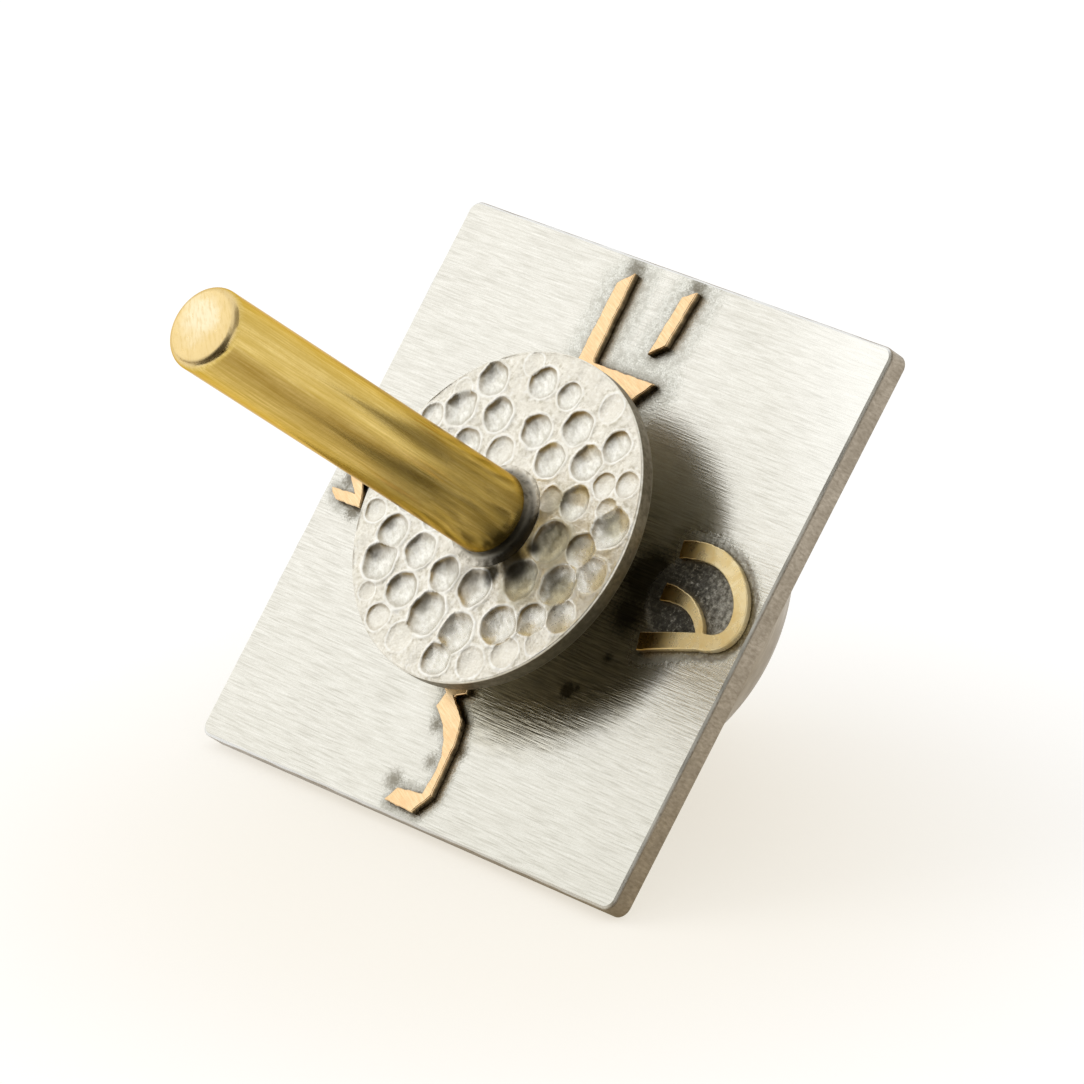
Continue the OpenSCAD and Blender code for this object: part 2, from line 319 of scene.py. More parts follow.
def geometry_tree(name, inputs):
    """A Geometry Nodes tree with its named inputs, its group input and its group output."""
    tree = bpy.data.node_groups.new(name, "GeometryNodeTree")
    tree.interface.new_socket("Geometry", in_out="INPUT", socket_type="NodeSocketGeometry")
    for label, kind in inputs.items():
        tree.interface.new_socket(label, in_out="INPUT", socket_type="NodeSocket" + kind)
    tree.interface.new_socket("Geometry", in_out="OUTPUT", socket_type="NodeSocketGeometry")
    return tree, tree.nodes.new("NodeGroupInput"), tree.nodes.new("NodeGroupOutput")


def remember(geometry, name, value):
    return add(geometry.id_data, "GeometryNodeStoreNamedAttribute",
               {0: geometry, "Name": name, "Value": value}, data_type="FLOAT", domain="POINT").outputs[0]


def put_out(geometry, given, result):
    """Ends a tree: instances made real, the material set and the result handed out."""
    tree = geometry.id_data
    whole = add(tree, "GeometryNodeRealizeInstances", {0: geometry})
    dressed = add(tree, "GeometryNodeSetMaterial", {0: whole.outputs[0],
                                                    "Material": given.outputs["Material"]})
    tree.links.new(dressed.outputs[0], result.inputs[0])


def keep_plain(piece, step):
    """Makes what a modifier gives the piece's own mesh."""
    plain = bpy.data.meshes.new_from_object(piece.evaluated_get(bpy.context.evaluated_depsgraph_get()))
    piece.modifiers.remove(step)
    piece.data = plain


def grown(piece, tree, values):
    """Runs a tree on a piece, with its named inputs set, and keeps the plain mesh."""
    step = piece.modifiers.new(tree.name, "NODES")
    step.node_group = tree
    for socket in tree.interface.items_tree:
        if socket.in_out == "INPUT" and socket.name in values:
            step[socket.identifier] = values[socket.name]
    bpy.context.view_layer.update()
    keep_plain(piece, step)
    piece.data.name = piece.name


def top_frame(tree, scale=(1, 1, 1), turn=0.0):
    """Object coordinates turned back to the top's own frame, in millimetres, then stretched."""
    where = add(tree, "ShaderNodeTexCoord").outputs["Object"]
    back = lay_down.inverted()
    own = add(tree, "ShaderNodeMapping", {"Vector": where, "Location": back.to_translation(),
                                          "Rotation": back.to_3x3().normalized().to_euler(),
                                          "Scale": (1000, 1000, 1000)})
    if turn:
        own = add(tree, "ShaderNodeMapping", {"Vector": own.outputs[0], "Rotation": (0, 0, turn)})
    if tuple(scale) == (1, 1, 1):
        return own.outputs[0]
    return add(tree, "ShaderNodeMapping", {"Vector": own.outputs[0], "Scale": scale}).outputs[0]


def left_on(tree, name):
    """The values that remember stored on a mesh, for its finish."""
    return add(tree, "ShaderNodeAttribute", attribute_name=name).outputs["Fac"]


def own_height_in(tree):
    """How high a place lies along the stem, in millimetres above the plate."""
    return add(tree, "ShaderNodeSeparateXYZ", {0: top_frame(tree)}).outputs[2]


def plus(a, b):
    return math("ADD", a, b)


def minus(a, b):
    return math("SUBTRACT", a, b)


def times(a, b):
    return math("MULTIPLY", a, b)


def noise(vector, scale=1.0, detail=2.0, rough=0.5):
    return add(vector.id_data, "ShaderNodeTexNoise", {"Vector": vector, "Scale": scale, "Detail": detail,
                                                      "Roughness": rough}).outputs[0]


def bump(height, depth_mm, strength=1.0, under=None):
    given = {"Height": height, "Distance": depth_mm / 1000, "Strength": strength}
    if under is not None:
        given["Normal"] = under
    return add(height.id_data, "ShaderNodeBump", given).outputs[0]


def plan(tree, scale=(1, 1)):
    """The place seen along the stem, in millimetres, as if all of it lay on the plate."""
    return vector_math("MULTIPLY", top_frame(tree), (*scale, 0))


def along(where, x, y):
    """How far a place lies in the direction (x, y)."""
    return vector_math("DOT_PRODUCT", where, (x, y, 0), "Value")


def smudges(where, ragged, spots):
    """1 in soft round spots, (x, y, radius where full, radius where gone), and 0 beyond them."""
    most = 0.0
    for x, y, full, gone in spots:
        away = plus(from_spot(where, x, y), ragged)
        most = math("MAXIMUM", most, between(away, full, gone, 1, 0, True))
    return most


def metal(out, colour, roughness, normal, bare=1.0, smeared=0.0, way=None, edge_tint=(1, 1, 1)):
    """Metal, bare or under a skin. It can smear its reflections along a way of the top's own frame."""
    tree = out.id_data
    given = {"Base Color": colour, "Metallic": bare, "Roughness": roughness, "Normal": normal,
             "Specular Tint": (*edge_tint, 1), "Specular IOR Level": 0.2}
    if way:
        waver = add(tree, "ShaderNodeTexNoise", {"Vector": top_frame(tree), "Scale": 0.4}).outputs[1]
        way = (lay_down.to_3x3() @ Vector(way)).normalized()
        given["Tangent"] = add(tree, "ShaderNodeVectorMath", {0: waver, 1: (0.06, 0.06, 0.06), 2: way},
                               operation="MULTIPLY_ADD").outputs[0]
        given["Anisotropic"] = smeared
    tree.links.new(add(tree, "ShaderNodeBsdfPrincipled", given).outputs[0], out.inputs[0])


ground_tree, given, result = geometry_tree("grainy_ground", {
    "Letters": "Collection", "Reach": "Float", "Grain": "Float",
    "Grain height": "Float", "Up": "Vector", "Material": "Material"})
letters_in = add(ground_tree, "GeometryNodeCollectionInfo", {"Collection": given.outputs["Letters"]},
                 transform_space="RELATIVE")
solid_letters = add(ground_tree, "GeometryNodeRealizeInstances", {0: letters_in.outputs[0]})
near = add(ground_tree, "GeometryNodeProximity", {0: solid_letters.outputs[0]}, target_element="FACES")
gap_mm = times(near.outputs["Distance"], 1000.0)
kept = remember(given.outputs[0], "letter_gap", gap_mm)
close = between(near.outputs["Distance"], 0.0, given.outputs["Reach"], 1.0, 0.0)
grain = add(ground_tree, "ShaderNodeTexNoise", {"Scale": given.outputs["Grain"], "Detail": 3.0,
                                                "Roughness": 0.65})
above = minus(grain.outputs[0], 0.45)
lift = times(times(above, close), given.outputs["Grain height"])
push = add(ground_tree, "ShaderNodeVectorMath", {0: given.outputs["Up"], "Scale": lift}, operation="SCALE")
moved = add(ground_tree, "GeometryNodeSetPosition", {0: kept, "Offset": push.outputs[0]})
put_out(moved.outputs[0], given, result)

brushed, tree, out = new_tree("brushed_plate")
where = plan(tree)
hair = noise(top_frame(tree, (0.45, 9.0, 1.0)), 1.0, 2.0, 0.6)
mark = noise(top_frame(tree, (0.38, 7.0, 1.0), 0.012), 1.0, 2.0, 0.5)
sweep = noise(top_frame(tree, (0.07, 2.2, 1.0), -0.008), 1.0, 2.0, 0.5)
cloud = noise(where, 0.10, 3.0, 0.55)
fleck = noise(where, 5.0, 3.0, 0.65)
low_right = along(where, 0.6, -0.8)
base = blend(between(hair, 0.3, 0.7), (0.89, 0.875, 0.81), (0.72, 0.70, 0.63))
bite = times(between(mark, 0.50, 0.68), between(low_right, -22, 22, 0.26, 0.50))
base = blend(times(bite, between(cloud, 0.35, 0.6, 0.6, 1.1)), base, (0.36, 0.34, 0.28))
shine = times(between(mark, 0.42, 0.30), between(low_right, -22, 22, 0.18, 0.4))
base = blend(shine, base, (0.97, 0.96, 0.91))
base = blend(between(sweep, 0.45, 0.7, 0, 0.3), base, (0.62, 0.60, 0.53))
base = blend(between(fleck, 0.35, 0.7, 0.0, 0.25), base, (0.50, 0.48, 0.42))
# Painted shade darkens the plate towards its lower right, and painted light brightens its top right corner
base = blend(between(low_right, -10, 30, 0.04, 0.40), base, (0.55, 0.54, 0.46))
base = blend(between(along(where, 0.85, 0.53), 20, 28, 0, 0.5), base, (0.98, 0.975, 0.93))

# The grainy skin that the solder left: pale by most letters, black round the three-armed one, with the
# disc's painted shadow over its left side
letter_gap = left_on(tree, "letter_gap")
speck = noise(where, 4.0, 3.0, 0.7)
crumb = noise(where, 8.0, 2.0, 0.6)
loose = minus(speck, 0.5)
back = between(along(where, 0, 1), 8, 11)
wide_skin = between(plus(letter_gap, times(loose, 2.4)), 1.1, 3.0, 1, 0, True)
skin = between(plus(letter_gap, times(loose, 1.6)), 0.4, 1.4, 1, 0, True)
skin = math("MAXIMUM", times(wide_skin, times(back, 0.62)), times(skin, 0.45))
curd = noise(where, 1.6, 3.0, 0.6)
chalk = blend(between(crumb, 0.40, 0.60), (0.58, 0.58, 0.51), (0.95, 0.95, 0.88))
chalk = blend(between(curd, 0.46, 0.60, 0, 0.75), chalk, (0.44, 0.43, 0.36))
base = blend(skin, base, chalk)
# Painted shade in a soft grey band round each letter
painted_shade_band = between(plus(letter_gap, times(loose, 0.8)), 0.05, 1.1, 0.58, 0, True)
base = blend(painted_shade_band, base, (0.24, 0.22, 0.17))
groove = plus(letter_gap, times(minus(curd, 0.5), 1.2))
groove = between(math("ABSOLUTE", minus(groove, 0.42), 0.0), 0.05, 0.30, 0.7, 0)
groove = times(groove, between(along(where, 1, 0), 17.0, 19.0))
base = blend(groove, base, (0.20, 0.17, 0.13))
# Black patches left of the three-armed letter, partly char and partly the disc's painted shadow
char_and_shadow = smudges(where, times(loose, 2.0), [(11.2, 0.6, 1.4, 3.3), (11.0, -2.2, 0.6, 2.6)])
base = blend(times(char_and_shadow, 0.85), base, (0.026, 0.022, 0.013))
bowl = from_spot(plan(tree, (0.235, 0.29)), 16.3 * 0.235, 0.2 * 0.29)
bowl = between(plus(bowl, times(loose, 0.25)), 0.92, 1.12, 1, 0, True)
cinder = noise(where, 2.4, 5.0, 0.75)
coal = blend(between(cinder, 0.46, 0.66), (0.014, 0.012, 0.007), (0.17, 0.16, 0.13))
crust = times(between(noise(where, 5.0, 2.0, 0.5), 0.50, 0.62), between(cinder, 0.52, 0.62))
coal = blend(times(crust, 0.8), coal, (0.62, 0.61, 0.56))
ash = blend(between(cinder, 0.40, 0.62), (0.12, 0.11, 0.085), (0.62, 0.60, 0.53))
coal = blend(between(plus(along(where, 0.85, 0.3), times(curd, 3.0)), 15.6, 18.6), coal, ash)
# Painted shadow of the disc makes the coal black towards the disc
coal = blend(between(along(where, 1, 0), 12.2, 14.6, 0.85, 0), coal, (0.022, 0.019, 0.011))
base = blend(times(bowl, 0.93), base, coal)
# A dark line at each letter's foot, partly flux left in the joint and partly painted shade
flux_and_shade_line = between(plus(letter_gap, times(loose, 0.5)), 0.0, 0.30, 0.85, 0, True)
base = blend(flux_and_shade_line, base, (0.13, 0.11, 0.075))

# Soot and painted shadow under and beside the disc, a pit, and scorch marks at the letters' outer ends
ragged = times(minus(noise(top_frame(tree, (0.5, 1.3, 1.0)), 1.0, 3.0, 0.6), 0.5), 3.0)
soot_and_shadow = smudges(where, ragged, [(3.8, -4.0, 8.5, 12.5), (13.0, -7.4, 0.5, 4.0), (13.0, 3.0, 1.2, 3.6),
                               (12.4, -1.4, 1.0, 3.0)])
soot_and_shadow_tone = blend(between(mark, 0.36, 0.60), (0.92, 0.87, 0.72), (0.42, 0.38, 0.28))
base = blend(times(soot_and_shadow, 0.7), base, soot_and_shadow_tone, "MULTIPLY")
scorch = smudges(where, times(loose, 1.6), [(-4.1, 21.7, 0.1, 1.3), (2.4, 21.9, 0.1, 1.2),
                                            (-1.0, -15.1, 0.0, 1.0), (0.2, -17.7, 0.0, 1.0),
                                            (-2.3, -20.0, 0.1, 1.3), (2.6, -16.2, 0.0, 0.9),
                                            (-20.5, -0.7, 0.2, 1.0), (-18.7, -2.9, 0.2, 1.0)])
base = blend(times(scorch, 0.75), base, (0.14, 0.12, 0.08))
pit = smudges(where, times(loose, 0.8), [(9.1, -9.1, 0.4, 0.9), (9.8, -8.7, 0.0, 0.6),
                                         (11.2, -5.8, 0.0, 0.7)])
base = blend(times(pit, 0.8), base, (0.055, 0.044, 0.026))
grainy = math("MAXIMUM", skin, bowl)
rough = plus(between(cloud, 0.3, 0.7, 0.20, 0.26), times(grainy, 0.16))
dents = bump(hair, 0.008)
dents = bump(mark, 0.045, between(soot_and_shadow, 0, 1, 0.3, 1), dents)
dents = bump(speck, 0.10, times(grainy, 0.8), dents)
metal(out, base, rough, dents, minus(1.0, times(bowl, 0.75)), between(grainy, 0, 0.7, 0.6, 0.0),
      (0, 1, 0))

filed, tree, out = new_tree("filed_edge")
own_height = own_height_in(tree)
marks = noise(top_frame(tree, (5.0, 5.0, 2.0), 0.6), 1.0, 3.0, 0.6)
patch = noise(top_frame(tree), 0.35, 3.0, 0.6)
base = blend(between(marks, 0.3, 0.7), (0.52, 0.455, 0.365), (0.32, 0.27, 0.205))
base = blend(between(patch, 0.45, 0.75, 0, 0.5), base, (0.30, 0.25, 0.185))
# The right edge's bevel and a thin line along it are painted dark as shade
shaded_right_edge = between(along(plan(tree), 1, 0), 21.9, 22.3)
bevel = blend(shaded_right_edge, (0.86, 0.86, 0.84), (0.50, 0.48, 0.42))
base = blend(between(own_height, -0.20, -0.12), base, bevel)
edge = times(between(own_height, -0.32, -0.24), between(own_height, -0.17, -0.10, 1, 0))
edge = times(edge, times(shaded_right_edge, 0.8))
edge = times(edge, between(marks, 0.36, 0.56, 1, 0.35))
base = blend(edge, base, (0.17, 0.145, 0.11))
metal(out, base, between(patch, 0.3, 0.7, 0.38, 0.52), bump(marks, 0.02, 0.9))

plate = finish_piece("plate_brushed", plate_mesh(), 25)
letter_solids = bpy.data.collections.new("letter_solids")
for name in letters:
    letter_solids.objects.link(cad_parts[name])
up = (lay_down.to_3x3() @ Vector((0, 0, 1))).normalized()
grown(plate, ground_tree, {"Letters": letter_solids, "Reach": grain_reach / 1000, "Grain": grain_fineness,
                           "Grain height": grain_height, "Up": up, "Material": brushed})
plate.data.materials.append(filed)
flat = np.empty(len(plate.data.polygons) * 3)
plate.data.polygons.foreach_get("normal", flat)
side_on = (abs(flat.reshape(-1, 3) @ np.array(up)) < 0.9).astype(np.int32)
plate.data.polygons.foreach_set("material_index", side_on)
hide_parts("plate")
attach(plate, "root")


# Dome
# A half round raised from thin sheet and spun smooth, soldered under the plate by its rim.
dome_wall, dome_turns, dome_steps = 1.0, 192, (48, 40)


def turned(name, outline, turns, smooth_below=30):
    """Turns an outline, (radius, height) points that end on the axis or close on themselves."""
    steps = np.linspace(0, 2 * pi, turns, endpoint=False)
    points = [(r * cos(t), r * sin(t), z) for r, z in outline for t in steps]
    faces = []
    for k in range(len(outline) - (0 if outline[0][0] > 0 and outline[-1][0] > 0 else 1)):
        j = (k + 1) % len(outline)
        for i in range(turns):
            i2 = (i + 1) % turns
            faces.append((k * turns + i, k * turns + i2, j * turns + i2, j * turns + i))
    mesh = bpy.data.meshes.new(name)
    mesh.from_pydata(points, [], faces)
    work = bmesh.new()
    work.from_mesh(mesh)
    bmesh.ops.remove_doubles(work, verts=work.verts, dist=merged_below)
    bmesh.ops.dissolve_degenerate(work, edges=work.edges, dist=merged_below)
    work.to_mesh(mesh)
    work.free()
    return mesh


def arc(x, z, r, start, end, steps):
    """Points along a round about (x, z), by angle in degrees."""
    return [(x + r * cos(radians(start + (end - start) * i / steps)),
             z + r * sin(radians(start + (end - start) * i / steps))) for i in range(steps + 1)]


inner_r = dome_r - dome_wall
hole_out = -np.degrees(np.arccos(spigot_hole_r / dome_r))
hole_in = -np.degrees(np.arccos(spigot_hole_r / inner_r))
spun, tree, out = new_tree("spun_dome")
rings_mark = noise(top_frame(tree, (0.25, 0.25, 6.0)), 1.0, 3.0, 0.6)
dusk = noise(top_frame(tree), 0.25, 3.0, 0.6)
base = blend(between(rings_mark, 0.3, 0.7), (0.50, 0.425, 0.315), (0.37, 0.305, 0.215))
base = blend(between(dusk, 0.4, 0.75, 0, 0.5), base, (0.26, 0.205, 0.135))
metal(out, base, between(dusk, 0.3, 0.7, 0.30, 0.45), bump(rings_mark, 0.02, 0.8))
dome = finish_piece("dome_spun", turned(
    "dome_spun", arc(0, -plate_thick, dome_r, 0, hole_out, dome_steps[0])
    + arc(0, -plate_thick, inner_r, hole_in, 0, dome_steps[1]), dome_turns))
dome.data.materials.append(spun)
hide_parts("dome")
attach(dome, "root")


# Spacer
# A short tube that carries the disc above the plate, left dark from the heat.
spacer_r, disc_low, spacer_turns = 4.5, 4.1, 96
spacer_steps = (0, 1.4, 2.7, disc_low)
sooty, tree, out = new_tree("sooty_tube")
ash = noise(top_frame(tree, (1.0, 1.0, 0.6)), 1.6, 4.0, 0.65)
base = blend(between(ash, 0.35, 0.7), (0.05, 0.045, 0.035), (0.32, 0.29, 0.23))
metal(out, base, between(ash, 0.3, 0.7, 0.45, 0.65), bump(ash, 0.05, 0.7))
spacer_outline = [(spigot_hole_r, 0)] + [(spacer_r, z) for z in spacer_steps] + [(spigot_hole_r, disc_low)]
spacer = finish_piece("spacer_tube", turned("spacer_tube", spacer_outline, spacer_turns))
spacer.data.materials.append(sooty)
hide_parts("disc_spacer")
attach(spacer, "root")


# Hammered disc
# A disc of the same pale metal, 26 mm wide, sunk all over its face with a ball punch before it
# was put on the stem. Each blow leaves a round dimple with a thin raised lip.
disc_r, disc_top, disc_round = 13.0, 5.5, 0.15
dimple_wide, dimple_deep, dimple_lip = 2.8, 0.32, 0.035
disc_turns, disc_rings = 640, 92
under_steps, rim_steps = (5.0, 9.0), (0.55, 0.85)
dimple_wobble, face_unevenness = 0.4, 0.16
# Place in shares of the disc's radius, width in shares of an average dimple, and the size of
# the punch in shares of an average punch: a bigger one leaves a flatter dimple
dimples = [
    (-0.50, 0.72, 1.00, 1.0), (-0.14, 0.80, 0.95, 1.0), (0.09, 0.78, 0.80, 1.0),
    (-0.63, 0.50, 1.05, 1.0), (-0.34, 0.54, 1.00, 1.0), (-0.80, 0.40, 0.75, 1.0),
    (-0.02, 0.53, 1.00, 1.0), (0.26, 0.63, 1.00, 1.0), (0.59, 0.61, 0.90, 1.0),
    (-0.46, 0.32, 0.95, 1.1), (-0.20, 0.35, 0.90, 1.8), (0.18, 0.40, 1.00, 1.0),
    (0.44, 0.46, 1.00, 1.0), (0.42, 0.80, 0.80, 2.6), (0.64, 0.38, 0.75, 1.4),
    (0.79, 0.43, 0.75, 1.2), (0.50, 0.23, 1.00, 1.0), (0.32, 0.20, 0.75, 1.4),
    (0.83, 0.17, 1.20, 1.2), (0.47, -0.02, 1.20, 1.1), (0.70, 0.00, 0.95, 1.1),
    (0.86, -0.11, 1.00, 1.2), (0.40, -0.28, 1.15, 1.1), (0.67, -0.23, 1.20, 1.2),
    (0.80, -0.38, 0.92, 1.2), (0.61, -0.46, 0.95, 1.1), (0.41, -0.56, 1.15, 1.1),
    (0.11, -0.42, 1.05, 1.0), (-0.15, -0.41, 1.00, 1.0), (-0.13, -0.65, 1.20, 1.1),
    (-0.40, -0.34, 1.00, 1.0), (-0.66, -0.29, 1.00, 1.0), (-0.65, -0.48, 1.12, 1.0),
    (-0.39, -0.58, 1.05, 1.0), (-0.46, -0.77, 0.80, 1.6), (-0.24, -0.83, 0.85, 2.8),
    (0.14, -0.69, 1.10, 1.0), (0.09, -0.87, 0.95, 1.0), (0.34, -0.81, 0.90, 2.8),
    (0.54, -0.69, 0.90, 2.8), (0.72, -0.56, 0.75, 2.8), (-0.63, -0.66, 0.55, 1.2),
    (-0.86, -0.22, 0.70, 1.2), (-0.68, 0.60, 0.60, 2.2), (-0.27, 0.88, 0.65, 2.4),
    (0.74, 0.26, 0.65, 1.0), (-0.76, 0.22, 0.90, 1.0), (-0.86, 0.02, 0.80, 1.0),
    (-0.57, 0.14, 0.95, 1.0), (-0.65, -0.07, 0.95, 1.0), (-0.42, -0.12, 0.85, 1.0)]


def remembered(tree, name):
    return add(tree, "GeometryNodeInputNamedAttribute", {"Name": name}, data_type="FLOAT").outputs[0]


def ball_height(ball, away):
    """How far the surface of a ball lies above its middle, at a distance from its axis."""
    return math("SQRT", minus(times(ball, ball), times(away, away)))


# The tree strikes each dimple in turn. It keeps the lowest surface, the highest lip, and how
# far out each point lies in its nearest dimple, as a share of that dimple's radius.
hammer_tree, given, result = geometry_tree("ball_punch", {
    "Places": "Object", "Dimple width": "Float", "Dimple depth": "Float",
    "Wobble": "Float", "Lip": "Float", "Unevenness": "Float",
    "Face height": "Float", "Material": "Material"})
blows = add(hammer_tree, "GeometryNodeObjectInfo", {"Object": given.outputs["Places"]},
            transform_space="ORIGINAL").outputs["Geometry"]
count = add(hammer_tree, "GeometryNodeAttributeDomainSize", {0: blows}, component="MESH")
half_w = times(given.outputs["Dimple width"], 0.5)
deep = given.outputs["Dimple depth"]
average_ball = math("DIVIDE", plus(times(half_w, half_w), times(deep, deep)), times(deep, 2.0))
fresh = given.outputs[0]
for name, value in (("dimple", 9.0), ("sunk", 0.0), ("lip", 0.0), ("cup", 0.0), ("lee", 0.0)):
    fresh = remember(fresh, name, value)
start = hammer_tree.nodes.new("GeometryNodeRepeatInput")
stop = hammer_tree.nodes.new("GeometryNodeRepeatOutput")
start.pair_with_output(stop)
hammer_tree.links.new(count.outputs["Point Count"], start.inputs["Iterations"])
hammer_tree.links.new(fresh, start.inputs["Geometry"])
own_place = add(hammer_tree, "GeometryNodeInputPosition").outputs[0]
spot = add(hammer_tree, "GeometryNodeSampleIndex", {0: blows, "Value": own_place,
                                                    "Index": start.outputs["Iteration"]},
           data_type="FLOAT_VECTOR", domain="POINT")
punch = add(hammer_tree, "GeometryNodeSampleIndex", {0: blows, "Value": remembered(hammer_tree, "punch"),
                                                     "Index": start.outputs["Iteration"]},
            data_type="FLOAT", domain="POINT").outputs[0]
spot_xyz = add(hammer_tree, "ShaderNodeSeparateXYZ", {0: spot.outputs[0]}).outputs
here = add(hammer_tree, "ShaderNodeSeparateXYZ", {0: own_place}).outputs
dx = minus(here[0], spot_xyz[0])
dy = minus(here[1], spot_xyz[1])
away = math("SQRT", plus(times(dx, dx), times(dy, dy)))
# No dimple is quite round
waver = add(hammer_tree, "ShaderNodeTexNoise", {"Scale": 0.75, "Detail": 1.0}).outputs[0]
waver = times(minus(waver, 0.5), given.outputs["Wobble"])
away = times(away, plus(waver, 1.0))
ball = times(average_ball, punch)
spot_r = times(spot_xyz[2], half_w)
outness = math("DIVIDE", away, spot_r)
on_ball = math("MINIMUM", away, times(ball, 0.98))
mouth_height = ball_height(ball, spot_r)
depth = minus(ball_height(ball, on_ball), mouth_height)
deepness = math("DIVIDE", minus(ball, mouth_height), deep)
past = times(minus(outness, 1.03), 8.0)
one_over_e = 0.368
own_lip = times(deepness, math("POWER", one_over_e, times(past, past)))
# 1 inside a deep dimple, and 0 in a shallow one and outside
own_cup = times(between(deepness, 0.2, 0.7), between(outness, 0.93, 1.0, 1, 0))
# How far over to the shaded side of its nearest dimple a point lies, where painted shade goes
own_shade_side = math("DIVIDE", plus(times(dx, -0.75), times(dy, 0.66)), spot_r)
nearer = math("LESS_THAN", outness, remembered(hammer_tree, "dimple"))
old_shade_side = remembered(hammer_tree, "lee")
own_shade_side = plus(old_shade_side, times(nearer, minus(own_shade_side, old_shade_side)))
struck = remember(start.outputs["Geometry"], "lee", own_shade_side)
for name, value, keep in (("sunk", depth, "MAXIMUM"), ("dimple", outness, "MINIMUM"),
                          ("lip", own_lip, "MAXIMUM"), ("cup", own_cup, "MAXIMUM")):
    struck = remember(struck, name, math(keep, remembered(hammer_tree, name), value))
hammer_tree.links.new(struck, stop.inputs["Geometry"])
# The lip swells where the metal was pushed aside, and a later dimple takes it away again
outside = between(remembered(hammer_tree, "dimple"), 0.75, 0.97)
swell = times(times(remembered(hammer_tree, "lip"), outside), given.outputs["Lip"])
# The face between the dimples is a little uneven too
uneven = add(hammer_tree, "ShaderNodeTexNoise", {"Scale": 0.55, "Detail": 1.0}).outputs[0]
swell = plus(swell, times(minus(uneven, 0.65), given.outputs["Unevenness"]))
offset = add(hammer_tree, "ShaderNodeCombineXYZ", {2: minus(swell, remembered(hammer_tree, "sunk"))})
on_face = add(hammer_tree, "FunctionNodeCompare", {0: here[2],
                                                   1: minus(given.outputs["Face height"], 0.001)},
              data_type="FLOAT", operation="GREATER_THAN")
sunk_disc = add(hammer_tree, "GeometryNodeSetPosition", {
    0: stop.outputs["Geometry"], "Selection": on_face.outputs[0], "Offset": offset.outputs[0]})
put_out(sunk_disc.outputs[0], given, result)

punched, tree, out = new_tree("punched_disc")
where = plan(tree)
share_out = left_on(tree, "dimple")
cup = left_on(tree, "cup")
lee = left_on(tree, "lee")
worn = between(along(where, -0.7, 0.7), -7, 0)
frost = noise(top_frame(tree), 5.0, 3.0, 0.65)
grit_and_glint = noise(top_frame(tree), 2.2, 2.0, 0.6)
smear = noise(top_frame(tree, (1.6, 3.0, 1.6), 0.6), 1.0, 3.0, 0.6)
cloud = noise(top_frame(tree), 0.5, 3.0, 0.55)
soft = noise(top_frame(tree), 0.9, 2.0, 0.5)
base = blend(between(frost, 0.36, 0.64), (0.93, 0.895, 0.795), (0.85, 0.81, 0.705))
base = blend(between(grit_and_glint, 0.50, 0.64, 0, 0.22), base, (0.68, 0.635, 0.53))
# Painted glints, near white, where the grit is lowest
base = blend(between(grit_and_glint, 0.42, 0.32, 0, 0.65), base, (1.0, 0.98, 0.91))
base = blend(between(cloud, 0.4, 0.7, 0.0, 0.22), base, (0.70, 0.655, 0.55))
polished = blend(between(smear, 0.38, 0.66), (0.98, 0.965, 0.89), (0.74, 0.715, 0.62))
polished = blend(between(frost, 0.45, 0.65, 0, 0.35), polished, (0.66, 0.64, 0.58))
base = blend(cup, base, polished)
# A thin ochre line inside each dimple's rim, made strongest on its shaded side as painted shade
edge = times(between(share_out, 0.62, 0.90, 0, 1, True), between(share_out, 0.93, 0.99, 1, 0, True))
edge = times(times(edge, between(cup, 0, 0.3)), between(cloud, 0.35, 0.6, 0.25, 0.8))
edge = times(edge, between(lee, -0.25, 0.75, 0.35, 1.35))
base = blend(edge, base, (0.33, 0.25, 0.13))
# The ridges between dimples are painted near white, partly worn bright and partly a painted highlight
ridge_wear_and_highlight = times(between(share_out, 0.95, 1.02, 0, 1, True), between(share_out, 1.04, 1.18, 1, 0, True))
base = blend(times(ridge_wear_and_highlight, between(soft, 0.35, 0.6, 0.2, 0.95)), base, (1.0, 0.985, 0.92))
groove = times(between(share_out, 1.10, 1.22, 0, 1, True), between(share_out, 1.26, 1.5, 1, 0, True))
base = blend(times(groove, between(grit_and_glint, 0.45, 0.62, 0, 0.5)), base, (0.52, 0.47, 0.35))

# Heat has left olive and brown patches beside the foot of the stem and a black blot at it; both are
# deepened with painted shadow, and the patches are darkest on each dimple's shaded side
ragged = times(minus(soft, 0.5), 2.2)
tarnish_and_shadow = smudges(where, ragged, [(6.4, -0.3, 1.2, 2.8), (5.4, -3.8, 1.2, 2.6), (8.6, -3.2, 0.6, 2.4),
                                  (5.0, 2.6, 0.2, 1.8), (10.6, 2.2, 0.1, 1.6)])
brown = blend(between(plus(lee, ragged), -0.55, 0.55), (0.86, 0.85, 0.74), (0.10, 0.09, 0.055))
brown = blend(cup, (0.62, 0.59, 0.47), brown)
base = blend(times(tarnish_and_shadow, 0.9), base, brown, "MULTIPLY")
dull = smudges(where, ragged, [(0.4, -4.9, 0.4, 2.0), (-1.8, -4.4, 0.1, 1.4), (4.2, 1.6, 0.3, 1.4)])
base = blend(times(dull, 0.6), base, (0.36, 0.33, 0.27))
flux_and_shadow_blot = smudges(where, times(ragged, 0.4), [(3.7, -2.7, 0.7, 1.8), (2.3, -4.0, 0.3, 1.3),
                                           (4.7, -1.2, 0.1, 1.0)])
base = blend(times(flux_and_shadow_blot, 0.95), base, (0.020, 0.017, 0.010))
own_height = own_height_in(tree)
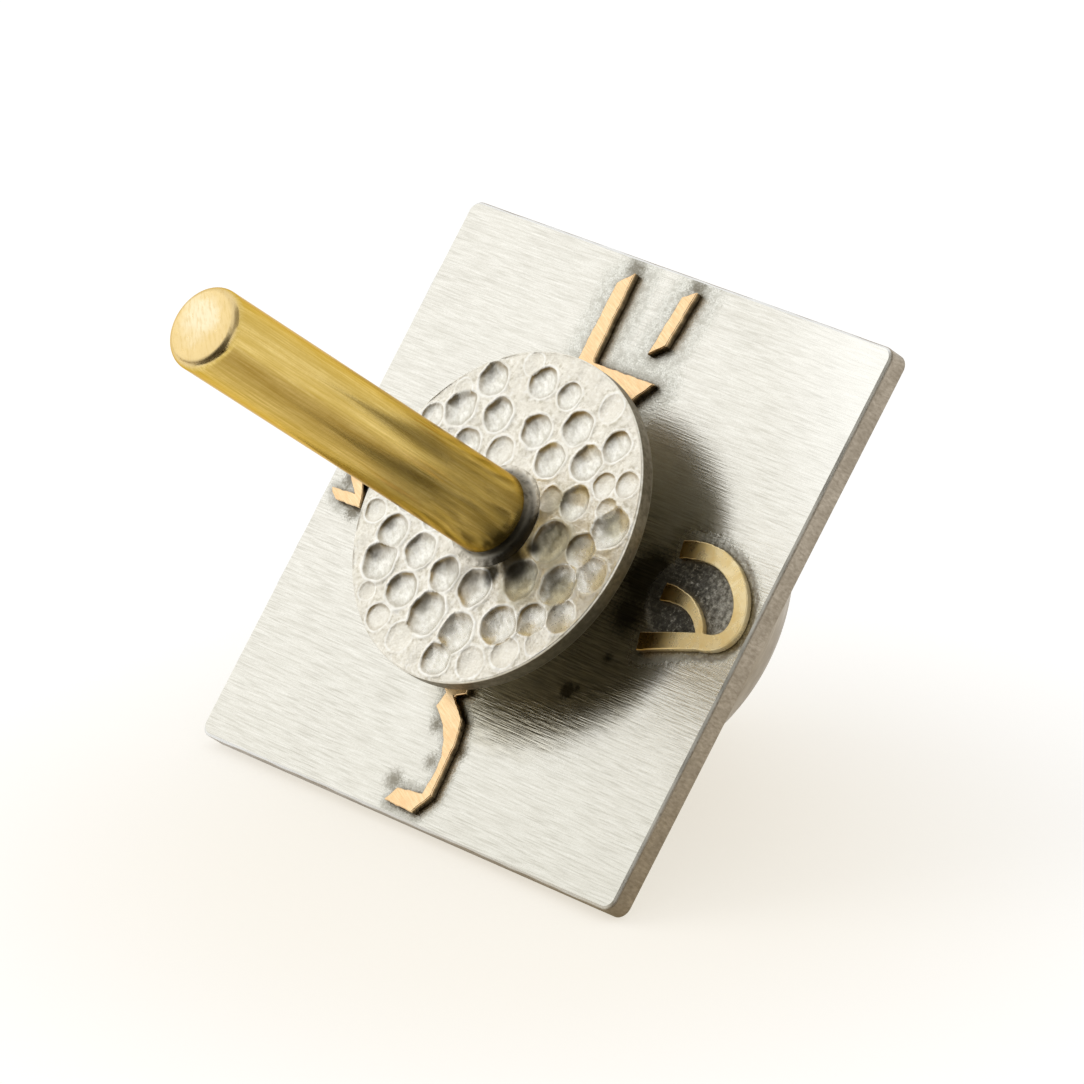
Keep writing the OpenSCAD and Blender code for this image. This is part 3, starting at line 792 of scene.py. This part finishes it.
# The rim's side is painted dark brown-grey as shade, darkest on its lower right
rim = blend(between(grit_and_glint, 0.35, 0.65), (0.33, 0.285, 0.205), (0.20, 0.17, 0.115))
outer = between(from_spot(where, 0, 0), disc_r - 0.12, disc_r - 0.02)
rim = blend(between(along(where, 0.9, -0.43), 9.5, 12.5, 0, 0.6), rim, (0.10, 0.09, 0.055))
base = blend(times(outer, between(own_height, 5.28, 5.38, 1, 0, True)), base, rim)
# The underside is painted a darker brown-grey as shade
base = blend(between(own_height, 4.12, 4.3, 1, 0, True), base, (0.46, 0.42, 0.31))
rough = between(frost, 0.3, 0.7, 0.34, 0.46)
rough = minus(rough, times(cup, between(worn, 0, 1, 0.10, 0.02)))
rough = plus(rough, between(own_height, 4.12, 4.4, 0.2, 0))
marks = bump(frost, 0.03, minus(1.0, times(cup, 0.6)))
marks = bump(grit_and_glint, 0.026, minus(1.0, times(cup, 0.7)), marks)
marks = bump(smear, 0.03, times(cup, 0.6), marks)
bare = minus(1.0, math("MAXIMUM", times(tarnish_and_shadow, 0.7), times(cup, between(worn, 0, 1, 0.35, 0.0))))
metal(out, base, rough, marks, bare)

blow_mesh = bpy.data.meshes.new("blows")
blow_mesh.from_pydata([(x * disc_r, y * disc_r, w) for x, y, w, ball in dimples], [], [])
blow_mesh.attributes.new("punch", "FLOAT", "POINT").data.foreach_set("value", [d[3] for d in dimples])
blow_places = new_object("blows", blow_mesh)
face_rings = [(float(r), disc_top) for r in np.linspace(disc_r - disc_round, spigot_hole_r, disc_rings)]
disc_mesh = turned("disc_hammered", [(r, disc_low) for r in (spigot_hole_r, *under_steps)]
                   + arc(disc_r - disc_round, disc_low + disc_round, disc_round, -90, 0, 5)
                   + [(disc_r, disc_low + step) for step in rim_steps]
                   + arc(disc_r - disc_round, disc_top - disc_round, disc_round, 0, 90, 5)[:-1]
                   + face_rings, disc_turns)
disc = new_object("disc_hammered", disc_mesh)
grown(disc, hammer_tree, {"Places": blow_places, "Dimple width": dimple_wide, "Dimple depth": dimple_deep,
                          "Wobble": dimple_wobble, "Lip": dimple_lip, "Unevenness": face_unevenness,
                          "Face height": disc_top, "Material": punched})
bpy.data.objects.remove(blow_places)
struck_mesh = disc.data
bpy.data.objects.remove(disc)
disc = finish_piece("disc_hammered", struck_mesh, 50)
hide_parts("hammered_disc")
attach(disc, "root")


# Stem
# A brass rod with a rounded free end. It is turned down to a spigot that runs through the disc,
# the tube, the plate and the dome, and comes out below as the spinning tip.
spigot_r, tip_low, tip_round = 2.38, -23.4, 0.8
foot_r, foot_rise = (spigot_r + stem_r) / 2, 0.88
tip_centre, stem_turns = tip_low + tip_round, 160
spigot_steps, shank_steps, end_steps = (-12, -4, 1, disc_top), 30, (1.6, 0.8, 0)
shank_low, shank_high = disc_top + foot_rise, stem_above - stem_round - 0.2
stem_outline = ([(0, tip_low)] + arc(0, tip_centre, tip_round, -75, -15, 8)
                + [(spigot_r, (-plate_thick - dome_r + tip_centre) / 2)]
                + [(spigot_r, z) for z in spigot_steps] + [(foot_r, disc_top)]
                + [(stem_r, z) for z in np.linspace(shank_low, shank_high, shank_steps)]
                + arc(stem_r - stem_round, stem_above - stem_round, stem_round, 0, 90, 10)
                + [(r, stem_above) for r in end_steps])
satin, tree, out = new_tree("satin_brass")
drawn = noise(top_frame(tree, (7.0, 7.0, 0.22)), 1.0, 3.0, 0.65)
wide = noise(top_frame(tree, (1.3, 1.3, 0.08)), 1.0, 2.0, 0.5)
cross = noise(top_frame(tree, (2.2, 2.2, 7.0)), 1.0, 2.0, 0.6)
cloud = noise(top_frame(tree), 0.45, 3.0, 0.6)
length = own_height_in(tree)
base = blend(between(drawn, 0.3, 0.7), (0.86, 0.66, 0.25), (0.62, 0.43, 0.10))
base = blend(between(wide, 0.45, 0.75, 0, 0.45), base, (0.50, 0.335, 0.055))
base = blend(between(cross, 0.45, 0.7, 0, 0.2), base, (0.56, 0.385, 0.085))
base = blend(between(cloud, 0.45, 0.8, 0, 0.3), base, (0.56, 0.385, 0.085))
# Painted shade darkens the stem towards its foot, near the disc
base = blend(between(length, 21, 12, 0, 0.10, True), base, (0.42, 0.28, 0.05))
base = blend(between(length, 11, 6, 0, 0.12, True), base, (0.38, 0.25, 0.04))
top_end = between(length, stem_above - 0.42, stem_above - 0.08, 0, 1, True)
worn = blend(between(smudges(plan(tree), times(minus(cloud, 0.5), 3.0), [(-0.6, 0.4, 0.6, 2.4)]), 0, 1),
             (0.84, 0.65, 0.32), (0.93, 0.82, 0.56))
worn = blend(between(noise(top_frame(tree, (1.2, 5.0, 1.0), 0.8), 1.0, 3.0, 0.6), 0.48, 0.66, 0, 0.5),
             worn, (0.72, 0.52, 0.20))
base = blend(top_end, base, worn)
rough = between(wide, 0.3, 0.7, 0.13, 0.18)
rough = plus(rough, times(top_end, 0.14))
rough = plus(rough, between(length, 16, 7, 0, 0.07))
marks = bump(drawn, 0.008, 0.9)
metal(out, base, rough, bump(cross, 0.003, 0.8, marks), 1.0, times(minus(1.0, top_end), 0.7), (0, 0, 1),
      (0.80, 0.62, 0.32))
stem = finish_piece("stem_brass", turned("stem_brass", stem_outline, stem_turns), 40)
stem.data.materials.append(satin)
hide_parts("stem")
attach(stem, "root")


# Letters
# Each is sawn by hand from gold-coloured sheet, sanded flat on top and soldered to the plate.
# The sawn walls are dark, partly a skin from the heat and partly painted shade.
letter_top = 0.6
saw_step, shortest_cut, eased_edge = 0.18, 0.09, 0.00007
saw_slips = ((0.028, 4.1, 2.3, 0), (0.018, 9.7, -7.9, 1))
peach, tree, out = new_tree("sawn_letter")
where = plan(tree)
own_height = own_height_in(tree)
sanded = noise(top_frame(tree, (0.8, 7.0, 7.0), 0.4), 1.0, 3.0, 0.6)
blush = noise(top_frame(tree), 0.9, 3.0, 0.6)
scorch = noise(top_frame(tree), 3.0, 3.0, 0.6)
golden = between(along(where, 1, 0), 11.2, 11.5)
base = blend(between(sanded, 0.3, 0.7), (0.96, 0.73, 0.44), (0.80, 0.55, 0.285))
base = blend(between(blush, 0.4, 0.7, 0, 0.6), base, (0.90, 0.57, 0.30))
gold = blend(between(blush, 0.35, 0.65), (0.98, 0.82, 0.48), (0.90, 0.68, 0.30))
base = blend(golden, base, gold)
# The three-armed letter's inner ends, towards the disc, are painted dark brown as the disc's reflection in
# them
inward = plus(along(where, 1, 0.15), times(blush, 1.2))
base = blend(times(between(inward, 14.6, 17.0, 0.94, 0), golden), base, (0.24, 0.13, 0.02))
wall_skin_and_shade = between(plus(own_height, times(scorch, 0.2)), letter_top - 0.2, letter_top, 1, 0, True)
wall_skin_and_shade = times(wall_skin_and_shade, between(golden, 0, 1, 0.93, 0.25))
base = blend(wall_skin_and_shade, base, (0.21, 0.165, 0.105))
rough = plus(between(blush, 0.3, 0.7, 0.18, 0.26), times(golden, 0.06))
sheen = minus(1.0, times(between(inward, 15.6, 17.6, 0, 0.6), golden))
metal(out, base, rough, bump(sanded, 0.004, 0.8), sheen)


def sawn_letter(node):
    """A letter from its own outline, with a saw's small slips along it and its edges eased."""
    work = bmesh.new()
    work.from_mesh(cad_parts[node].data)
    work.transform(lay_down.inverted())
    bmesh.ops.remove_doubles(work, verts=work.verts, dist=0.001)
    face_edges = {}
    for f in work.faces:
        if f.normal.z > 0.99:
            for e in f.edges:
                face_edges[e] = face_edges.get(e, 0) + 1
    edge = [e for e, n in face_edges.items() if n == 1]
    nexts = {}
    for e in edge:
        top_face = [f for f in e.link_faces if f.normal.z > 0.99][0]
        for loop in top_face.loops:
            if loop.edge == e:
                nexts[loop.vert] = loop.link_loop_next.vert
    start = next(iter(nexts))
    path, p = [start], nexts[start]
    while p != start:
        path.append(p)
        p = nexts[p]
    corners = [np.array(q.co.xy) for q in path]
    work.free()
    corners = [b for a, b in zip([corners[-1]] + corners, corners) if np.linalg.norm(b - a) > shortest_cut]
    outline = []
    for a, b in zip(corners, corners[1:] + corners[:1]):
        steps = max(1, int(np.linalg.norm(b - a) / saw_step))
        side = np.array([-(b - a)[1], (b - a)[0]]) / np.linalg.norm(b - a)
        for i in range(steps):
            q = a + (b - a) * i / steps
            ease = sin(pi * i / steps) if steps > 3 else 0
            slip = sum(size * sin(u * q[0] + v * q[1] + w) for size, u, v, w in saw_slips)
            outline.append(q + side * slip * ease)
    n = len(outline)
    points = [(x, y, z) for z in (0.0, letter_top) for x, y in outline]
    faces = [tuple(range(n - 1, -1, -1)), tuple(range(n, 2 * n))]
    faces += [(i, (i + 1) % n, n + (i + 1) % n, n + i) for i in range(n)]
    piece = new_piece(node + "_sawn", points, faces, 35)
    ease = piece.modifiers.new("eased_edges", "BEVEL")
    ease.width, ease.segments, ease.limit_method, ease.angle_limit = eased_edge, 2, "ANGLE", radians(50)
    ease.harden_normals = False
    keep_plain(piece, ease)
    piece.data.materials.append(peach)
    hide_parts(node)
    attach(piece, "root")


for name in letters:
    sawn_letter(name)


# Solder
# Grey fillets, lumpy where the solder froze, round the stem's foot, the dome's rim and the tip.
lumpy, tree, out = new_tree("grey_solder")
where = plan(tree)
froth = noise(top_frame(tree), 1.6, 3.0, 0.6)
own_height = own_height_in(tree)
base = blend(between(froth, 0.35, 0.65), (0.15, 0.135, 0.105), (0.36, 0.33, 0.27))
# On the disc it thins to a film in the disc's own colour, and on its lower right side it is black, partly
# burnt and partly painted shade
film = plus(from_spot(where, 0, 0), times(minus(froth, 0.5), 0.5))
low_side = between(along(where, 0.25, -0.97), 1.6, 3.2, 0, 0.28)
film = times(between(plus(film, low_side), stem_r + 0.25, stem_r + 0.6), between(own_height, 4.0, 5.0))
base = blend(film, base, blend(between(froth, 0.4, 0.6), (0.84, 0.80, 0.70), (0.55, 0.51, 0.42)))
burnt_and_shade = between(plus(along(where, 0.92, -0.38), times(froth, 1.2)), 2.2, 3.9, 0, 0.94, True)
base = blend(burnt_and_shade, base, (0.020, 0.017, 0.010))
metal(out, base, between(froth, 0.3, 0.7, 0.42, 0.58), bump(froth, 0.06, 0.8))

solder_tree, given, result = geometry_tree("frozen_solder", {
    "Lump": "Float", "Lump height": "Float", "Seed": "Float", "Material": "Material"})
swirl = add(solder_tree, "ShaderNodeTexNoise", {"Scale": given.outputs["Lump"], "W": given.outputs["Seed"],
                                                "Detail": 2.0}, noise_dimensions="4D")
way = add(solder_tree, "GeometryNodeInputNormal")
rise = times(minus(swirl.outputs[0], 0.5), given.outputs["Lump height"])
push = add(solder_tree, "ShaderNodeVectorMath", {0: way.outputs[0], "Scale": rise}, operation="SCALE")
moved = add(solder_tree, "GeometryNodeSetPosition", {0: given.outputs[0], "Offset": push.outputs[0]})
put_out(moved.outputs[0], given, result)


solder_bite, solder_sink, hollow, hollow_steps = 0.05, 0.02, 2.2, 10
lump_fineness, lump_height = 900.0, 0.00014


def solder_ring(name, node, r, z, leg, slope, turns, seed, draw_in=0.0):
    """A hollow-faced fillet round a cylinder of radius r, its leg along a face that falls away."""
    sink = solder_sink if leg > 0 else -solder_sink
    out_r = r + abs(leg)
    foot_z = z - slope * leg
    outline = [(r - draw_in - solder_bite, z - sink), (out_r, foot_z - sink)]
    for i in range(hollow_steps + 1):
        t = i / hollow_steps
        x = out_r - (out_r - r) * (1 - (1 - t) ** hollow)
        outline.append((x, foot_z + (z + leg - foot_z) * t ** hollow * 0.98 + sink))
    outline.append((r - solder_bite, z + leg))
    mesh = turned(name, outline, turns)
    ring = finish_piece(name, mesh, 60)
    grown(ring, solder_tree, {"Lump": lump_fineness, "Lump height": lump_height, "Seed": seed,
                              "Material": lumpy})
    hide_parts(node)
    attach(ring, "root")


solder_ring("stem_fillet", "stem_solder", stem_r, disc_top, 0.8, 0, 160, 1.0, stem_r - foot_r)
solder_ring("dome_fillet", "dome_solder", dome_r, -plate_thick, -0.6, 0, 320, 2.0)
tip_in = sqrt(dome_r ** 2 - spigot_r ** 2)
solder_ring("tip_fillet", "tip_solder", spigot_r, -plate_thick - tip_in, -0.7, spigot_r / tip_in, 128, 3.0)


# Settings. The picture keeps plain colours.
bpy.context.scene.view_settings.view_transform = "Standard"
bpy.data.collections.remove(letter_solids)
bpy.context.view_layer.update()
